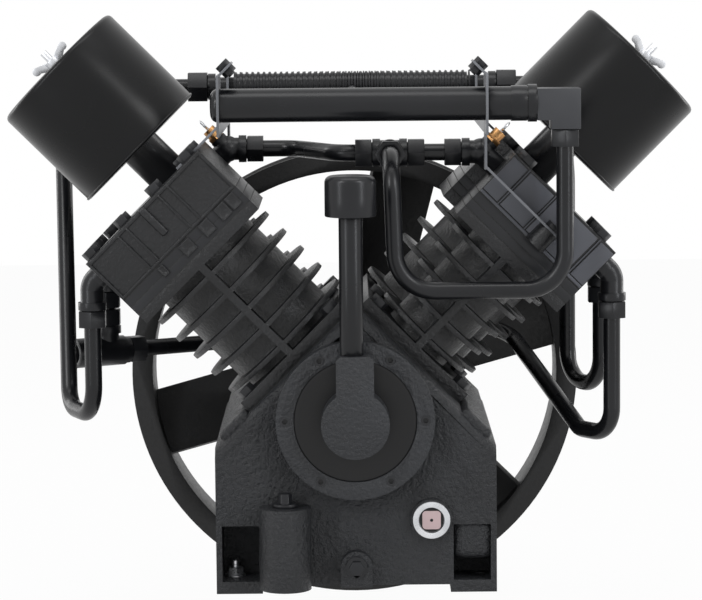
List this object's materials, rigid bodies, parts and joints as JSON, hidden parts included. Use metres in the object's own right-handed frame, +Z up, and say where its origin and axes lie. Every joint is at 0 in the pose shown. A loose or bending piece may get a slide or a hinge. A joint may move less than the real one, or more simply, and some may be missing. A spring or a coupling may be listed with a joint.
{
  "type": "air compressor pump head",
  "caption": "Two-stage V-type reciprocating air compressor pump head with finned intercooler, intake filters, vented crankcase and spoked fan flywheel.",
  "frame": {"origin": "centre of the four mounting holes, on the plane the feet rest on", "axes": "+X to the right seen from the front cover, +Y along the crankshaft towards the flywheel, +Z up"},
  "size_m": [0.7214, 0.4832, 0.6583],
  "materials": {
    "black_casting": "black enamel over a sand-cast surface, satin",
    "black_steel": "smooth black paint, satin",
    "black_fittings": "black paint over brass and steel fittings, satin",
    "dark_bolts": "black oxide",
    "plate_steel": "ground, oiled",
    "zinc": "bright zinc plating",
    "ground_steel": "ground bearing steel",
    "forged_steel": "forged and machined",
    "piston_alloy": "machined",
    "brass": "turned, plain",
    "gasket_fibre": "fibre sheet",
    "seal_rubber": "moulded nitrile",
    "filter_paper": "pleated paper",
    "sight_glass": "clear, with pinkish oil behind it"
  },
  "bodies": {
    "pump": {"crankcase": "black_casting", "front_cover": "black_casting", "front_cover_bolts": "dark_bolts", "rear_bearing_housing": "black_casting", "rear_housing_bolts": "dark_bolts", "rear_oil_seal": "seal_rubber", "gaskets": "gasket_fibre", "main_bearing_outer_rings": "ground_steel", "breather_tube": "black_steel", "breather_cap": "black_steel", "oil_filler_plug": "black_fittings", "drain_plug": "black_fittings", "sight_glass_bezel": "zinc", "sight_glass_window": "sight_glass", "left_cylinder_block": "black_casting", "right_cylinder_block": "black_casting", "cylinder_base_nuts": "dark_bolts", "left_valve_plates": "plate_steel", "right_valve_plates": "plate_steel", "reed_valves": "plate_steel", "left_head": "black_casting", "right_head": "black_casting", "head_bolts": "dark_bolts", "left_filter_base": "black_steel", "right_filter_base": "black_steel", "left_filter_element": "filter_paper", "right_filter_element": "filter_paper", "left_filter_cover": "black_steel", "right_filter_cover": "black_steel", "filter_studs": "zinc", "head_elbows": "black_fittings", "relief_valves": "brass", "intercooler": "black_steel", "manifold": "black_steel", "manifold_elbow": "black_fittings", "left_bracket": "black_steel", "right_bracket": "black_steel", "bracket_bolts": "dark_bolts", "u_tube": "black_steel", "cross_pipe": "black_steel", "cross_pipe_tee": "black_fittings", "tube_nuts": "black_fittings", "left_first_stage_tube": "black_steel", "right_first_stage_tube": "black_steel", "discharge_tubes": "black_steel", "discharge_tee": "black_fittings", "connecting_rods": "forged_steel", "pistons": "piston_alloy", "piston_rings": "plate_steel", "gudgeon_pins": "ground_steel"},
    "crank": {"crankshaft": "forged_steel", "rod_big_ends": "forged_steel", "main_bearing_inner_rings": "ground_steel", "flywheel": "black_casting", "flywheel_fasteners": "zinc"},
    "bearing_balls": {"main_bearing_balls": "ground_steel"},
    "left_wing": {"left_wing_nut": "zinc"},
    "right_wing": {"right_wing_nut": "zinc"},
    "left_pull_ring": {"left_relief_ring": "zinc"},
    "right_pull_ring": {"right_relief_ring": "zinc"}
  },
  "joints": [
    {"name": "crank_spin", "type": "hinge", "parent": "pump", "child": "crank", "pos_m": [0, 0, 0.18], "axis": [0, 1, 0], "continuous": true},
    {"name": "ball_spin", "type": "hinge", "parent": "pump", "child": "bearing_balls", "pos_m": [0, 0, 0.18], "axis": [0, 1, 0], "continuous": true},
    {"name": "left_wing_spin", "type": "hinge", "parent": "pump", "child": "left_wing", "pos_m": [-0.3083, -0.028, 0.53497], "axis": [-0.7071, 0, 0.7071], "continuous": true},
    {"name": "right_wing_spin", "type": "hinge", "parent": "pump", "child": "right_wing", "pos_m": [0.3083, 0.028, 0.53497], "axis": [0.7071, 0, 0.7071], "continuous": true},
    {"name": "left_ring_pull", "type": "slide", "parent": "pump", "child": "left_pull_ring", "axis": [-0.7071, 0, 0.7071], "range_m": [0, 0.0025], "stiffness_N_per_m": 800},
    {"name": "right_ring_pull", "type": "slide", "parent": "pump", "child": "right_pull_ring", "axis": [0.7071, 0, 0.7071], "range_m": [0, 0.0025], "stiffness_N_per_m": 800}
  ],
  "couplings": [
    {"joint": "ball_spin", "follows": "crank_spin", "ratio": 0.403}
  ]
}
